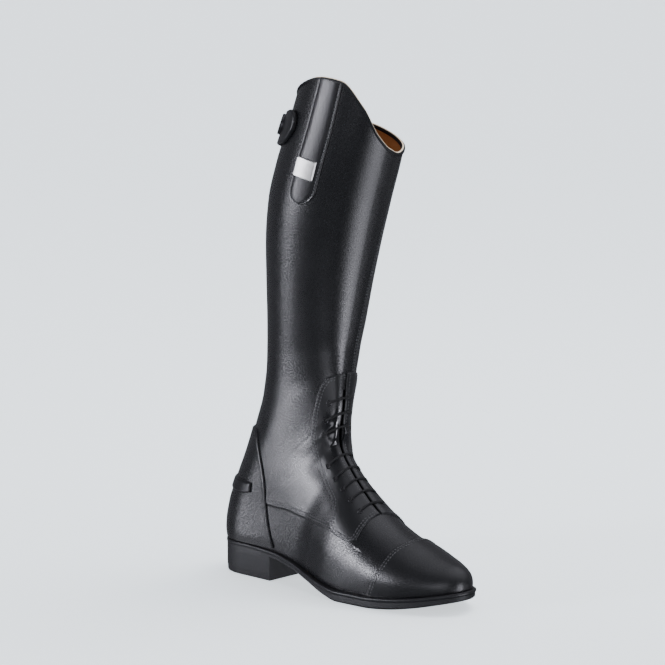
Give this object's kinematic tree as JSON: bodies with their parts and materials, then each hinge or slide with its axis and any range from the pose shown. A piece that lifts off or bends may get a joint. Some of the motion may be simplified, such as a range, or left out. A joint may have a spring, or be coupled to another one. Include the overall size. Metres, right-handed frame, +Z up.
{
  "type": "field boot",
  "caption": "Tall leather riding boot for the right foot with a lace front, back zip under a press-stud tab, toe cap, counter, spur rest and low block heel.",
  "frame": {"origin": "on the floor under the middle of the boot's bounding box", "axes": "+X towards the toe, +Y towards the inner side of the foot, +Z up"},
  "size_m": [0.291, 0.119, 0.4791],
  "materials": {
    "outsole": "matte",
    "welt": "satin",
    "insole": "matte",
    "upper": "satin grain",
    "tongue": "gloss",
    "toe_cap": "satin grain",
    "counter": "satin grain",
    "spur_rest": "satin",
    "eyestay": "satin grain",
    "eyelet": "satin",
    "lace": "matte",
    "side_tab": "gloss",
    "badge_plate": "polished",
    "binding": "satin",
    "zip": "matte",
    "zip_slider": "satin",
    "guard_tab": "satin grain",
    "press_stud": "satin"
  },
  "bodies": {
    "root": {"outsole": "outsole", "welt": "welt", "insole": "insole", "upper": "upper", "tongue": "tongue", "toe_cap": "toe_cap", "counter": "counter", "spur_rest": "spur_rest", "eyestay_outer": "eyestay", "eyestay_inner": "eyestay", "eyelet_outer_1": "eyelet", "eyelet_outer_2": "eyelet", "eyelet_outer_3": "eyelet", "eyelet_outer_4": "eyelet", "eyelet_outer_5": "eyelet", "eyelet_outer_6": "eyelet", "eyelet_outer_7": "eyelet", "eyelet_outer_8": "eyelet", "eyelet_inner_1": "eyelet", "eyelet_inner_2": "eyelet", "eyelet_inner_3": "eyelet", "eyelet_inner_4": "eyelet", "eyelet_inner_5": "eyelet", "eyelet_inner_6": "eyelet", "eyelet_inner_7": "eyelet", "eyelet_inner_8": "eyelet", "lace_bar_1": "lace", "lace_bar_2": "lace", "lace_bar_3": "lace", "lace_bar_4": "lace", "lace_bar_5": "lace", "lace_bar_6": "lace", "lace_bar_7": "lace", "lace_bar_8": "lace", "side_tab": "side_tab", "badge_plate": "badge_plate", "binding": "binding", "zip": "zip", "zip_slider": "zip_slider", "guard_tab": "guard_tab", "press_stud": "press_stud"}
  },
  "joints": []
}
